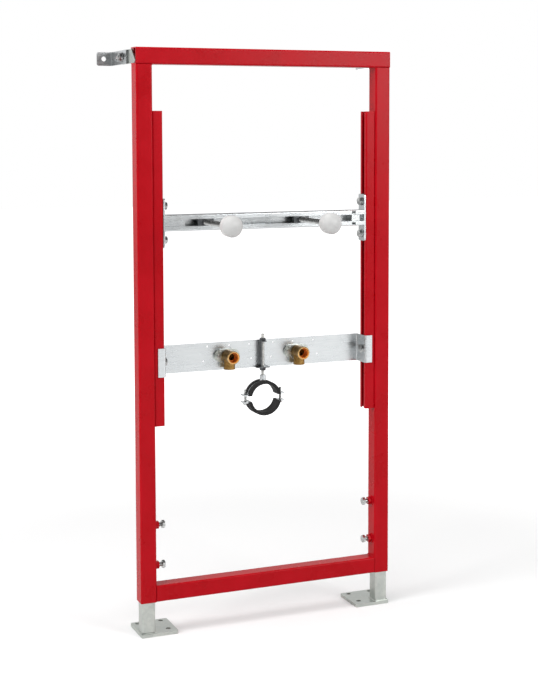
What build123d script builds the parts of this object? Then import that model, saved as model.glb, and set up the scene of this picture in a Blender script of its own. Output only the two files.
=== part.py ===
"""Washbasin support frame: a welded tube frame that carries a basin, its water elbows and its waste pipe.

X runs to the right seen from the room, Y into the wall and Z up, all in millimetres. The origin is on the
floor, midway across the frame and midway between the stud caps in front and the wall behind. Pieces that come
in pairs are drawn on the left and mirrored.
"""
import os

from build123d import *

os.makedirs("parts", exist_ok=True)

# Welded frame of square tube
frame_width = 500
frame_height = 1000
tube_size = 30
tube_wall = 2
tube_inner_radius = 1

# Reach of the whole object in front of and behind the front face of the tubes
cap_reach = 140
wall_reach = 150

# Clearances: between pieces that slide, around a screw in its thread, and around a bolt in its hole
slide_clearance = 0.3
thread_clearance = 0.1
hole_clearance = 1

# Telescopic legs and foot plates
leg_clearance = 0.5
leg_wall = 2
leg_length = 350
leg_shown = 57
foot_width = 70
foot_depth = 72
foot_thickness = 6
foot_corner = 3
foot_front_overhang = 2
foot_hole = 9
foot_hole_spacing = 45
foot_hole_margin_inner = 14
foot_hole_margin_back = 9

# Clamp screws that hold the legs
screw_size = 8
screw_flats = 13
screw_head = 5.3
nut_height = 6.5
clamp_heights = (65, 139)
clamp_turn = 30
clamp_nut_height = 8
clamp_neck = 6.5

# Lipped rails welded inside the stiles
inner_rail_depth = 19
inner_rail_width = 25
inner_rail_wall = 2
inner_rail_radius = 2.5
inner_rail_slot = 10
inner_rail_length = 566
inner_rail_base = 322

# Slide nuts that grip behind the lips of a rail
slide_nut_width = 19
slide_nut_height = 20
slide_nut_thickness = 6
bolt_end = 1.5

# Slotted rail that carries the basin
basin_height = 688
basin_rail_height = 30
basin_rail_depth = 25
basin_rail_wall = 2
basin_rail_radius = 2.5
basin_rail_slot = 12.5
bracket_height = 88
bracket_thickness = 3
bracket_corner = 3
bracket_bolt_spacing = 61
tongue_length = 38
tongue_thickness = 3
tongue_clearance = 0.5
block_length = 16
block_inset = 10
lip_notch_length = 8
lip_notch_height = 5

# Basin studs, their slide nuts and their caps
left_stud_inset = 78
right_stud_inset = 129
stud_size = 10
stud_chamfer = 1
stud_nut_length = 30
stud_nut_thickness = 8
stud_nut_clearance = 1
cap_diameter = 38
cap_dome = 11
cap_skirt = 14
cap_taper = 0.5
cap_wall = 2
cap_sleeve_recess = 3
cap_nose_wall = 7

# Fitting plate, a bent sheet with stepped ends
plate_height = 437
plate_depth = 52
plate_sheet = 2
plate_setback = 36
plate_flange = 13
plate_bend = 3
plate_hole = 3
upper_hole_rise = 19
upper_hole_places = (24, 64, 107)
lower_hole_drop = 8
lower_hole_places = (20, 115)

# Water elbows
elbow_spacing = 140
elbow_rise = 1
elbow_length = 39
elbow_body = 22
elbow_collar = 24
elbow_collar_length = 8
elbow_thread = 19.6
elbow_thread_depth = 15
elbow_waterway = 14
elbow_waterway_end = 4
elbow_outlet_bore = 12
elbow_socket = 15
elbow_socket_depth = 12
elbow_outlet = 21
elbow_outlet_drop = 24
elbow_outlet_setback = 23
elbow_edge = 1
elbow_base_width = 50
elbow_base_height = 23
elbow_base_thickness = 5
elbow_foot_width = 30
elbow_foot_drop = 21
elbow_foot_corner = 3
elbow_boss = 12
elbow_boss_height = 2
elbow_screw = 4
elbow_screw_head = 7
elbow_screw_head_height = 2.5
elbow_screw_spacing = 36

# Bracket, rod and nuts that hang the pipe clip
clip_bracket_height = 51
clip_bracket_depth = 13
clip_bracket_sheet = 2
clip_bracket_flange = 25
rod_size = 6
rod_flats = 10
rod_nut_height = 5
rod_setback = 7
rod_rise = 13
clip_drop = 82

# Pipe clip in two halves with a rubber lining
pipe_diameter = 53
lining_thickness = 3
lining_width = 24
lining_rim = 2.8
lining_lip = 9
lining_lip_thickness = 1
lining_lip_end = 1
band_thickness = 2
band_width = 18
lining_clearance = 0.1
clip_gap = 11
ear_reach = 41
ear_thickness = 2.5
clip_boss = 12
clip_boss_height = 11
clip_screw_size = 5
clip_screw_flats = 8
clip_screw_head = 3.5
clip_screw_spacing = 70
clip_screw_end = 9

# Straps and angles that reach back to the wall
strap_thickness = 3
strap_inset = 1
strap_front = 9
strap_back = 92
strap_clearance = 0.5
strap_slope = 21
strap_slope_drop = 20
strap_corner = 4
angle_front = 52
angle_tab = 30
angle_bend = 2.5
angle_corner = 4
wall_hole = 9
wall_hole_inset = 13
wall_bolt_setback = 76
wall_slot_front = 5
wall_slot_back = 36
wall_nut_flange = 17
wall_nut_flange_thickness = 1.5

# Places worked out from the sizes above
front_y = (cap_reach - wall_reach) / 2
back_y = front_y + tube_size
middle_y = front_y + tube_size / 2
frame_bottom = foot_thickness + leg_shown
frame_top = frame_bottom + frame_height
top_tube_z = frame_top - tube_size / 2
stile_x = (frame_width - tube_size) / 2
stile_face_x = frame_width / 2 - tube_size
rail_face_x = stile_face_x - inner_rail_depth
rail_lip_x = rail_face_x + inner_rail_wall
slide_face_x = rail_face_x - slide_clearance
rail_front_y = middle_y - inner_rail_width / 2
leg_size = tube_size - 2 * tube_wall - 2 * leg_clearance
basin_z = frame_bottom + basin_height
bracket_face_x = slide_face_x - bracket_thickness
basin_front_y = middle_y - basin_rail_depth / 2
basin_lip_y = basin_front_y + basin_rail_wall
basin_back_y = middle_y + basin_rail_depth / 2 - basin_rail_wall
plate_z = frame_bottom + plate_height
plate_front_y = front_y + plate_setback
plate_leg_x = slide_face_x - plate_sheet / 2
elbow_x = elbow_spacing / 2
elbow_z = plate_z + elbow_rise
rod_y = plate_front_y - rod_setback
clip_z = plate_z - clip_drop
clip_bracket_bottom = plate_z - plate_depth / 2
clip_bracket_top = clip_bracket_bottom + clip_bracket_height
lining_radius = pipe_diameter / 2 + lining_thickness
band_radius = lining_radius + lining_clearance
clip_radius = band_radius + band_thickness
lip_radius = clip_radius + lining_clearance
lining_outer_radius = lip_radius + lining_lip_thickness
strap_height = tube_size - 2 * tube_wall - 2 * strap_clearance
strap_face_x = frame_width / 2 - strap_inset
angle_face_x = strap_face_x + slide_clearance + strap_thickness
angle_middle_x = angle_face_x - strap_thickness / 2
wall_bolt_y = front_y + wall_bolt_setback
bolt_hole = screw_size + hole_clearance
stud_places = {"left": left_stud_inset - bracket_face_x, "right": bracket_face_x - right_stud_inset}


def save(piece, name):
    """Label one finished piece and write it as a STEP file of its own."""
    piece.part.label = name
    export_step(piece.part, f"parts/{name}.step")


def save_pair(piece, name):
    """Write a left-hand piece, and its mirror image for the right-hand side."""
    with BuildPart() as opposite:
        mirror(piece.part, about=Plane.YZ)
    save(piece, f"left_{name}")
    save(opposite, f"right_{name}")


def draw_tube(size, wall, inner_radius):
    """Draw the section of a square tube where the sketch stands."""
    RectangleRounded(size, size, inner_radius + wall)
    RectangleRounded(size - 2 * wall, size - 2 * wall, inner_radius, mode=Mode.SUBTRACT)


def draw_lipped_rail(depth, width, wall, radius, slot, slot_side):
    """Draw a lipped rail where the sketch stands, with its slot on one side along the sketch's X."""
    RectangleRounded(depth, width, radius)
    Rectangle(depth - 2 * wall, width - 2 * wall, mode=Mode.SUBTRACT)
    with Locations((slot_side * depth / 2, 0)):
        Rectangle(2 * wall, slot, mode=Mode.SUBTRACT)


def add_hex_bolt(seat, size, flats, head, length, turn=0):
    """Add a hexagon bolt: its head stands on the seat plane, and its shank runs back through it."""
    with BuildSketch(seat) as hexagon:
        RegularPolygon(flats / 2, 6, major_radius=False, rotation=turn)
    with BuildSketch(seat) as shank:
        Circle(size / 2)
    extrude(hexagon.sketch, amount=head)
    extrude(shank.sketch, amount=-length)


def add_hex_nut(seat, size, flats, height):
    """Add a hexagon nut that stands on the seat plane, bored for its thread."""
    with BuildSketch(seat) as ring:
        RegularPolygon(flats / 2, 6, major_radius=False)
        Circle(size / 2 + thread_clearance, mode=Mode.SUBTRACT)
    extrude(ring.sketch, amount=height)


def side_plane(x, y, z):
    """A plane across the frame's width at one point, facing the right."""
    return Plane(origin=(x, y, z), x_dir=(0, 1, 0), z_dir=(1, 0, 0))


# Top tube, open at its ends, with a notch in its back wall at each end for the wall strap
notch_width = strap_inset + strap_thickness + strap_clearance
notch_depth = tube_wall + tube_inner_radius
with BuildPart() as top_tube:
    with BuildSketch(Plane.YZ.offset(-frame_width / 2)):
        with Locations((middle_y, top_tube_z)):
            draw_tube(tube_size, tube_wall, tube_inner_radius)
    extrude(amount=frame_width)
    with Locations((0, back_y - notch_depth / 2, top_tube_z)):
        with GridLocations(frame_width - notch_width, 0, 2, 1):
            Box(notch_width, notch_depth, strap_height + strap_clearance, mode=Mode.SUBTRACT)
save(top_tube, "top_tube")

# Stiles, with holes in the inner wall for the clamp screws
clamp_places = [(middle_y, frame_bottom + height) for height in clamp_heights]
with BuildPart() as stile:
    with BuildSketch(Plane.XY.offset(frame_bottom)):
        with Locations((-stile_x, middle_y)):
            draw_tube(tube_size, tube_wall, tube_inner_radius)
    extrude(amount=frame_height - tube_size)
    with BuildSketch(Plane.YZ.offset(-stile_face_x)):
        with Locations(clamp_places):
            Circle(bolt_hole / 2)
    extrude(amount=-tube_wall, mode=Mode.SUBTRACT)
save_pair(stile, "stile")

# Bottom rail between the stiles
with BuildPart() as bottom_rail:
    with BuildSketch(Plane.YZ.offset(-stile_face_x)):
        with Locations((middle_y, frame_bottom + tube_size / 2)):
            draw_tube(tube_size, tube_wall, tube_inner_radius)
    extrude(amount=2 * stile_face_x)
save(bottom_rail, "bottom_rail")

# Inner rails, with their slots facing each other
with BuildPart() as inner_rail:
    with BuildSketch(Plane.XY.offset(frame_bottom + inner_rail_base)):
        with Locations((inner_rail_depth / 2 - stile_face_x, middle_y)):
            draw_lipped_rail(
                inner_rail_depth, inner_rail_width, inner_rail_wall, inner_rail_radius, inner_rail_slot, 1
            )
    extrude(amount=inner_rail_length)
save_pair(inner_rail, "inner_rail")

# Nuts welded on the stiles, and the clamp screws through them that stop just short of the legs
with BuildPart() as clamp_nuts:
    for place_y, place_z in clamp_places:
        add_hex_nut(side_plane(-stile_face_x, place_y, place_z), screw_size, screw_flats, clamp_nut_height)
    mirror(about=Plane.YZ)
save(clamp_nuts, "clamp_nuts")

clamp_seat_x = clamp_nut_height + clamp_neck - stile_face_x
clamp_screw_length = clamp_nut_height + clamp_neck + tube_wall + leg_clearance - slide_clearance
with BuildPart() as clamp_screws:
    for place_y, place_z in clamp_places:
        clamp_seat = side_plane(clamp_seat_x, place_y, place_z)
        add_hex_bolt(clamp_seat, screw_size, screw_flats, screw_head, clamp_screw_length, clamp_turn)
    mirror(about=Plane.YZ)
save(clamp_screws, "clamp_screws")

# Legs of smaller tube that slide in the stiles
with BuildPart() as leg:
    with BuildSketch(Plane.XY.offset(foot_thickness)):
        with Locations((-stile_x, middle_y)):
            draw_tube(leg_size, leg_wall, tube_inner_radius)
    extrude(amount=leg_length)
save_pair(leg, "leg")

# Foot plates, with two holes on the inner side and one behind the leg
foot_inner_x = foot_width - frame_width / 2
foot_hole_x = foot_inner_x - foot_hole_margin_inner
foot_hole_y = front_y - foot_front_overhang + foot_depth - foot_hole_margin_back
foot_hole_places = [
    (foot_hole_x, foot_hole_y),
    (foot_hole_x, foot_hole_y - foot_hole_spacing),
    (foot_hole_x - foot_hole_spacing, foot_hole_y),
]
with BuildPart() as foot_plate:
    with BuildSketch():
        with Locations((foot_inner_x - foot_width / 2, front_y - foot_front_overhang + foot_depth / 2)):
            RectangleRounded(foot_width, foot_depth, foot_corner)
        with Locations(foot_hole_places):
            Circle(foot_hole / 2, mode=Mode.SUBTRACT)
    extrude(amount=foot_thickness)
save_pair(foot_plate, "foot_plate")

# Slotted basin rail, open to the front, with its lips notched over the right-hand bracket's block
block_start_x = bracket_face_x - block_inset - block_length
lip_notch_x = block_start_x + lip_notch_length / 2
lip_middle = (basin_rail_height + basin_rail_slot) / 4
with BuildPart() as basin_rail:
    with BuildSketch(Plane.YZ.offset(-bracket_face_x)):
        with Locations((middle_y, basin_z)):
            draw_lipped_rail(
                basin_rail_depth, basin_rail_height, basin_rail_wall, basin_rail_radius, basin_rail_slot, -1
            )
    extrude(amount=2 * bracket_face_x)
    with Locations([(lip_notch_x, basin_front_y, basin_z + side * lip_middle) for side in (-1, 1)]):
        Box(lip_notch_length, 2 * basin_rail_wall, lip_notch_height, mode=Mode.SUBTRACT)
save(basin_rail, "basin_rail")

# End brackets: an upright plate on the inner rail, with a tongue that runs inside the basin rail
bracket_places = [
    (middle_y, basin_z - bracket_bolt_spacing / 2),
    (middle_y, basin_z + bracket_bolt_spacing / 2),
]
tongue_height = basin_rail_height - 2 * basin_rail_wall - 2 * tongue_clearance
with BuildPart() as bracket_plate:
    with BuildSketch(Plane.YZ.offset(-slide_face_x)):
        with Locations((middle_y, basin_z)):
            RectangleRounded(inner_rail_width, bracket_height, bracket_corner)
        with Locations(bracket_places):
            Circle(bolt_hole / 2, mode=Mode.SUBTRACT)
    extrude(amount=bracket_thickness)

# The left-hand tongue lies close behind the lips of the basin rail
with BuildPart() as left_bracket:
    add(bracket_plate.part)
    with BuildSketch(Plane.YZ.offset(-bracket_face_x)):
        with Locations((basin_lip_y + tongue_thickness / 2, basin_z)):
            Rectangle(tongue_thickness, tongue_height)
    extrude(amount=tongue_length)
save(left_bracket, "left_rail_bracket")

# The right-hand tongue lies at the back of the rail, with a block at its end that fills the slot
block_depth = basin_back_y - basin_front_y - 2 * tongue_clearance
block_height = basin_rail_slot - 2 * tongue_clearance
with BuildPart() as right_bracket:
    mirror(bracket_plate.part, about=Plane.YZ)
    with BuildSketch(Plane.YZ.offset(bracket_face_x)):
        with Locations((basin_back_y - tongue_clearance - tongue_thickness / 2, basin_z)):
            Rectangle(tongue_thickness, tongue_height)
    extrude(amount=-(block_inset + block_length))
    with BuildSketch(Plane.YZ.offset(block_start_x)):
        with Locations(((basin_front_y + basin_back_y) / 2, basin_z)):
            Rectangle(block_depth, block_height)
    extrude(amount=block_length)
save(right_bracket, "right_rail_bracket")

# Bolts through the end brackets into slide nuts behind the lips of the inner rails
slide_nut_x = rail_lip_x + slide_clearance
slide_grip = inner_rail_wall + 2 * slide_clearance + slide_nut_thickness + bolt_end
with BuildPart() as bracket_bolts:
    for place_y, place_z in bracket_places:
        add_hex_bolt(
            side_plane(-bracket_face_x, place_y, place_z),
            screw_size,
            screw_flats,
            screw_head,
            bracket_thickness + slide_grip,
        )
    mirror(about=Plane.YZ)
save(bracket_bolts, "bracket_bolts")

with BuildPart() as bracket_slide_nuts:
    with BuildSketch(Plane.YZ.offset(-slide_nut_x)):
        with Locations(bracket_places):
            Rectangle(slide_nut_width, slide_nut_height)
            Circle(screw_size / 2 + thread_clearance, mode=Mode.SUBTRACT)
    extrude(amount=-slide_nut_thickness)
    mirror(about=Plane.YZ)
save(bracket_slide_nuts, "bracket_slide_nuts")

# Slide nuts of the studs, behind the lips of the basin rail
with BuildPart() as stud_slide_nuts:
    with BuildSketch(Plane.XZ.offset(-basin_lip_y)):
        with Locations([(place, basin_z) for place in stud_places.values()]):
            Rectangle(stud_nut_length, basin_rail_height - 2 * basin_rail_wall - 2 * stud_nut_clearance)
            Circle(stud_size / 2 + thread_clearance, mode=Mode.SUBTRACT)
    extrude(amount=-stud_nut_thickness)
save(stud_slide_nuts, "stud_slide_nuts")

# Basin studs, and the round caps that cover their ends
cap_nose_y = front_y - cap_reach
cap_radius = cap_diameter / 2
cap_dome_radius = (cap_radius**2 + cap_dome**2) / (2 * cap_dome)
cap_rim_y = cap_nose_y + cap_dome
cap_back_y = cap_rim_y + cap_skirt
sleeve_bore = stud_size / 2 + thread_clearance
sleeve_radius = sleeve_bore + cap_wall
sleeve_end_y = cap_back_y - cap_sleeve_recess
stud_tip_y = cap_nose_y + cap_nose_wall
stud_back_y = basin_lip_y + stud_nut_thickness + bolt_end
for side, place in stud_places.items():
    with BuildPart() as basin_stud:
        with BuildSketch(Plane.XZ.offset(-stud_back_y)):
            with Locations((place, basin_z)):
                Circle(stud_size / 2)
        extrude(amount=stud_back_y - stud_tip_y)
        chamfer(basin_stud.edges().filter_by(GeomType.CIRCLE), stud_chamfer)
    save(basin_stud, f"{side}_basin_stud")

    with BuildPart() as stud_cap:
        with BuildSketch(Plane(origin=(place, 0, basin_z))):
            with BuildLine():
                dome = RadiusArc((0, cap_nose_y), (cap_radius, cap_rim_y), -cap_dome_radius)
                Polyline(
                    dome @ 1,
                    (cap_radius - cap_taper, cap_back_y),
                    (cap_radius - cap_taper - cap_wall, cap_back_y),
                    (cap_radius - cap_wall, cap_rim_y),
                    (sleeve_radius, cap_rim_y),
                    (sleeve_radius, sleeve_end_y),
                    (sleeve_bore, sleeve_end_y),
                    (sleeve_bore, stud_tip_y),
                    (0, stud_tip_y),
                    dome @ 0,
                )
            make_face()
        revolve(axis=Axis((place, 0, basin_z), (0, 1, 0)))
    save(stud_cap, f"{side}_stud_cap")

# Fitting plate: flanges over the front of the inner rails, legs beside their lips, and a set-back middle
flange_y = rail_front_y - slide_clearance - plate_sheet / 2
plate_middle_y = plate_front_y + plate_sheet / 2
flange_end_x = slide_face_x + plate_flange
upper_holes = [(side * x, plate_z + upper_hole_rise) for x in upper_hole_places for side in (-1, 1)]
lower_holes = [(side * x, plate_z - lower_hole_drop) for x in lower_hole_places for side in (-1, 1)]
with BuildPart() as fitting_plate:
    with BuildSketch(Plane.XY.offset(plate_z - plate_depth / 2)):
        with BuildLine():
            FilletPolyline(
                (-flange_end_x, flange_y),
                (-plate_leg_x, flange_y),
                (-plate_leg_x, plate_middle_y),
                (plate_leg_x, plate_middle_y),
                (plate_leg_x, flange_y),
                (flange_end_x, flange_y),
                radius=plate_bend,
            )
        trace(line_width=plate_sheet)
    extrude(amount=plate_depth)
    with BuildSketch(Plane.XZ.offset(-plate_front_y)):
        with Locations(upper_holes + lower_holes):
            Circle(plate_hole / 2)
        with Locations((-elbow_x, elbow_z), (elbow_x, elbow_z)):
            with GridLocations(elbow_screw_spacing, 0, 2, 1):
                Circle(elbow_screw / 2 + thread_clearance)
    extrude(amount=-plate_sheet, mode=Mode.SUBTRACT)
    with Locations(side_plane(0, middle_y, plate_z)):
        Cylinder(bolt_hole / 2, 2 * rail_face_x, mode=Mode.SUBTRACT)
save(fitting_plate, "fitting_plate")

# Bolts through the plate's legs into slide nuts in the inner rails
plate_bolt_x = slide_face_x - plate_sheet
with BuildPart() as plate_bolts:
    plate_seat = side_plane(-plate_bolt_x, middle_y, plate_z)
    add_hex_bolt(plate_seat, screw_size, screw_flats, screw_head, plate_sheet + slide_grip)
    mirror(about=Plane.YZ)
save(plate_bolts, "plate_bolts")

with BuildPart() as plate_slide_nuts:
    with BuildSketch(Plane.YZ.offset(-slide_nut_x)):
        with Locations((middle_y, plate_z)):
            Rectangle(slide_nut_width, slide_nut_height)
            Circle(screw_size / 2 + thread_clearance, mode=Mode.SUBTRACT)
    extrude(amount=-slide_nut_thickness)
    mirror(about=Plane.YZ)
save(plate_slide_nuts, "plate_slide_nuts")

# Elbow bases: an oblong plate with a boss round each screw, and a foot below
elbow_face = Plane(origin=(-elbow_x, plate_front_y, elbow_z), x_dir=(1, 0, 0), z_dir=(0, -1, 0))
elbow_seat = elbow_face.offset(elbow_base_thickness)
with BuildPart() as elbow_base:
    with BuildSketch(elbow_face):
        SlotOverall(elbow_base_width, elbow_base_height)
        with Locations((0, -elbow_foot_drop / 2)):
            RectangleRounded(elbow_foot_width, elbow_foot_drop, elbow_foot_corner)
    extrude(amount=elbow_base_thickness)
    with BuildSketch(elbow_seat):
        with GridLocations(elbow_screw_spacing, 0, 2, 1):
            Circle(elbow_boss / 2)
    extrude(amount=elbow_boss_height)
    with BuildSketch(elbow_face):
        with GridLocations(elbow_screw_spacing, 0, 2, 1):
            Circle(elbow_screw / 2 + thread_clearance)
    extrude(amount=elbow_base_thickness + elbow_boss_height, mode=Mode.SUBTRACT)
save_pair(elbow_base, "elbow_base")

# Water elbows: a threaded mouth to the front and an outlet downwards, standing on their bases
elbow_mouth = elbow_face.offset(elbow_length)
outlet_y = plate_front_y - elbow_length + elbow_outlet_setback
outlet_face = Plane(origin=(-elbow_x, outlet_y, elbow_z - elbow_outlet_drop))
with BuildPart() as tap_elbow:
    with BuildSketch(elbow_seat):
        Circle(elbow_body / 2)
    extrude(amount=elbow_length - elbow_base_thickness)
    with BuildSketch(elbow_mouth):
        Circle(elbow_collar / 2)
    extrude(amount=-elbow_collar_length)
    with BuildSketch(outlet_face):
        Circle(elbow_outlet / 2)
    extrude(amount=elbow_outlet_drop)
    chamfer(tap_elbow.edges().filter_by(GeomType.CIRCLE).group_by(Axis.Y)[0], elbow_edge)
    with BuildSketch(elbow_mouth):
        Circle(elbow_thread / 2)
    extrude(amount=-elbow_thread_depth, mode=Mode.SUBTRACT)
    with BuildSketch(elbow_mouth):
        Circle(elbow_waterway / 2)
    extrude(amount=-(elbow_outlet_setback + elbow_waterway_end), mode=Mode.SUBTRACT)
    with BuildSketch(outlet_face):
        Circle(elbow_outlet_bore / 2)
    extrude(amount=elbow_outlet_drop, mode=Mode.SUBTRACT)
    with BuildSketch(outlet_face):
        Circle(elbow_socket / 2)
    extrude(amount=elbow_socket_depth, mode=Mode.SUBTRACT)
save_pair(tap_elbow, "tap_elbow")

# Screws that hold the elbow bases on the plate
elbow_screw_face = elbow_face.offset(elbow_base_thickness + elbow_boss_height)
elbow_screw_length = elbow_base_thickness + elbow_boss_height + plate_sheet + bolt_end
with BuildPart() as elbow_screws:
    with BuildSketch(elbow_screw_face):
        with GridLocations(elbow_screw_spacing, 0, 2, 1):
            Circle(elbow_screw_head / 2)
    extrude(amount=elbow_screw_head_height)
    with BuildSketch(elbow_screw_face):
        with GridLocations(elbow_screw_spacing, 0, 2, 1):
            Circle(elbow_screw / 2)
    extrude(amount=-elbow_screw_length)
    mirror(about=Plane.YZ)
save(elbow_screws, "elbow_screws")

# Clip bracket: an upright angle on the plate, closed at the top and flanged at the bottom
channel_width = rod_size + 2 * thread_clearance + hole_clearance + 2 * clip_bracket_sheet
channel_y = plate_front_y - clip_bracket_depth / 2
with BuildPart() as clip_bracket:
    with BuildSketch(Plane.XY.offset(clip_bracket_bottom)):
        with Locations((0, channel_y)):
            Rectangle(channel_width, clip_bracket_depth)
        with Locations((clip_bracket_sheet, channel_y - clip_bracket_sheet)):
            Rectangle(channel_width, clip_bracket_depth, mode=Mode.SUBTRACT)
    extrude(amount=clip_bracket_height)
    with BuildSketch(Plane.XY.offset(clip_bracket_bottom)):
        with Locations((0, channel_y)):
            Rectangle(clip_bracket_flange, clip_bracket_depth)
    extrude(amount=clip_bracket_sheet)
    with BuildSketch(Plane.XY.offset(clip_bracket_top)):
        with Locations((0, channel_y)):
            Rectangle(channel_width, clip_bracket_depth)
    extrude(amount=-clip_bracket_sheet)
    with BuildSketch(Plane.XY.offset(clip_bracket_bottom)):
        with Locations((0, rod_y)):
            Circle(rod_size / 2 + thread_clearance)
    extrude(amount=clip_bracket_height, mode=Mode.SUBTRACT)
save(clip_bracket, "clip_bracket")

# Threaded rod of the clip, with a nut above and a nut below the bracket
rod_bottom = clip_z + clip_radius
with BuildPart() as clip_rod:
    with BuildSketch(Plane.XY.offset(rod_bottom)):
        with Locations((0, rod_y)):
            Circle(rod_size / 2)
    extrude(amount=clip_bracket_top + rod_rise - rod_bottom)
save(clip_rod, "clip_rod")

with BuildPart() as clip_rod_nuts:
    add_hex_nut(Plane((0, rod_y, clip_bracket_top)), rod_size, rod_flats, rod_nut_height)
    add_hex_nut(Plane((0, rod_y, clip_bracket_bottom - rod_nut_height)), rod_size, rod_flats, rod_nut_height)
save(clip_rod_nuts, "clip_rod_nuts")


def draw_half_ring(outer, inner, half, gap):
    """Draw the upper (1) or lower (-1) half of a ring round the pipe, with half the gap left open."""
    Circle(outer)
    Circle(inner, mode=Mode.SUBTRACT)
    with Locations((0, half * (gap / 2 + outer / 2))):
        Rectangle(2 * outer, outer, mode=Mode.INTERSECT)


# Pipe clip: a steel band with screw ears, and a rubber lining whose lips fold over the band from both edges
clip_front = Plane(origin=(0, rod_y - lining_width / 2, clip_z), x_dir=(1, 0, 0), z_dir=(0, -1, 0))
band_front = Plane(origin=(0, rod_y - band_width / 2, clip_z), x_dir=(1, 0, 0), z_dir=(0, -1, 0))
ear_length = ear_reach - lining_radius
lip_gap = clip_gap + 2 * (ear_thickness + lining_lip_end)
for half_name, half in (("upper", 1), ("lower", -1)):
    with BuildPart() as clip_band:
        with BuildSketch(band_front):
            draw_half_ring(clip_radius, band_radius, half, clip_gap)
            with Locations((0, half * (clip_gap + ear_thickness) / 2)):
                with GridLocations(ear_reach + lining_radius, 0, 2, 1):
                    Rectangle(ear_length, ear_thickness)
            Circle(band_radius, mode=Mode.SUBTRACT)
        extrude(amount=-band_width)
        with BuildSketch(Plane((0, rod_y, clip_z))):
            with GridLocations(clip_screw_spacing, 0, 2, 1):
                Circle(clip_screw_size / 2 + thread_clearance)
        extrude(amount=half * (clip_gap / 2 + ear_thickness), mode=Mode.SUBTRACT)
        if half_name == "upper":
            with BuildSketch(Plane((0, rod_y, clip_z + clip_radius + clip_boss_height))):
                Circle(clip_boss / 2)
            extrude(until=Until.NEXT, dir=(0, 0, -1))
            with BuildSketch(Plane((0, rod_y, rod_bottom))):
                Circle(rod_size / 2 + thread_clearance)
            extrude(amount=clip_boss_height, mode=Mode.SUBTRACT)
    save(clip_band, f"{half_name}_clip_band")

    with BuildPart() as clip_lining:
        with BuildSketch(clip_front):
            draw_half_ring(lining_radius, pipe_diameter / 2, half, clip_gap)
        extrude(amount=-lining_width)
        for rim_face in (clip_front, clip_front.offset(lining_rim - lining_width)):
            with BuildSketch(rim_face):
                draw_half_ring(lining_outer_radius, pipe_diameter / 2, half, clip_gap)
            extrude(amount=-lining_rim)
        for lip_face in (clip_front, clip_front.offset(lining_lip - lining_width)):
            with BuildSketch(lip_face):
                draw_half_ring(lining_outer_radius, lip_radius, half, lip_gap)
            extrude(amount=-lining_lip)
        if half_name == "upper":
            with BuildSketch(Plane((0, rod_y, clip_z + band_radius))):
                Circle(clip_boss / 2 + slide_clearance)
            extrude(amount=lining_outer_radius - band_radius, mode=Mode.SUBTRACT)
    save(clip_lining, f"{half_name}_clip_lining")

# Screws that draw the two halves of the clip together, with their heads below
clip_ear_z = clip_gap / 2 + ear_thickness
clip_screw_seat = Plane(origin=(0, rod_y, clip_z - clip_ear_z), x_dir=(1, 0, 0), z_dir=(0, 0, -1))
with BuildPart() as clip_screws:
    with BuildSketch(clip_screw_seat):
        with GridLocations(clip_screw_spacing, 0, 2, 1):
            RegularPolygon(clip_screw_flats / 2, 6, major_radius=False, rotation=30)
    extrude(amount=clip_screw_head)
    with BuildSketch(clip_screw_seat):
        with GridLocations(clip_screw_spacing, 0, 2, 1):
            Circle(clip_screw_size / 2)
    extrude(amount=-(2 * clip_ear_z + clip_screw_end))
save(clip_screws, "clip_screws")

# Wall straps, welded in the ends of the top tube, sloped at the front so that they slip in
strap_front_y = front_y + strap_front
strap_back_y = front_y + strap_back
strap_top = top_tube_z + strap_height / 2
strap_bottom = top_tube_z - strap_height / 2
with BuildPart() as wall_strap:
    with BuildSketch(Plane.YZ.offset(-strap_face_x)):
        with BuildLine():
            Polyline(
                (strap_front_y + strap_corner, strap_bottom),
                (strap_back_y, strap_bottom),
                (strap_back_y, strap_top),
                (strap_front_y + strap_slope, strap_top),
                (strap_front_y, strap_top - strap_slope_drop),
                (strap_front_y, strap_bottom + strap_corner),
                close=True,
            )
        make_face()
        with Locations((wall_bolt_y, top_tube_z)):
            Circle(bolt_hole / 2, mode=Mode.SUBTRACT)
    extrude(amount=strap_thickness)
save_pair(wall_strap, "wall_strap")

# Wall angles: a slotted leg along the strap and a drilled tab against the wall
angle_tab_y = front_y + wall_reach - strap_thickness / 2
angle_end_x = angle_face_x + angle_tab - strap_thickness
wall_slot_y = wall_bolt_y + (wall_slot_back - wall_slot_front) / 2
with BuildPart() as wall_angle:
    with BuildSketch(Plane.XY.offset(strap_bottom)):
        with BuildLine():
            FilletPolyline(
                (-angle_middle_x, front_y + angle_front),
                (-angle_middle_x, angle_tab_y),
                (-angle_end_x, angle_tab_y),
                radius=angle_bend,
            )
        trace(line_width=strap_thickness)
    extrude(amount=strap_height)
    fillet(wall_angle.edges().filter_by(Axis.Y).group_by(Axis.X)[0], angle_corner)
    with BuildSketch(Plane.YZ.offset(-angle_face_x)):
        with Locations((wall_slot_y, top_tube_z)):
            SlotCenterToCenter(wall_slot_front + wall_slot_back, bolt_hole)
    extrude(amount=strap_thickness, mode=Mode.SUBTRACT)
    with BuildSketch(Plane.XZ.offset(-(front_y + wall_reach))):
        with Locations((wall_hole_inset - angle_end_x, top_tube_z)):
            Circle(wall_hole / 2)
    extrude(amount=strap_thickness, mode=Mode.SUBTRACT)
save_pair(wall_angle, "wall_angle")

# Bolts from inside the straps, and flanged nuts outside that clamp the angles to them
wall_nut_x = angle_face_x + slide_clearance
wall_grip = 2 * strap_thickness + 2 * slide_clearance
with BuildPart() as wall_bolts:
    add_hex_bolt(
        side_plane(strap_thickness - strap_face_x, wall_bolt_y, top_tube_z),
        screw_size,
        screw_flats,
        screw_head,
        wall_grip + nut_height + bolt_end,
    )
    mirror(about=Plane.YZ)
save(wall_bolts, "wall_bolts")

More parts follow.
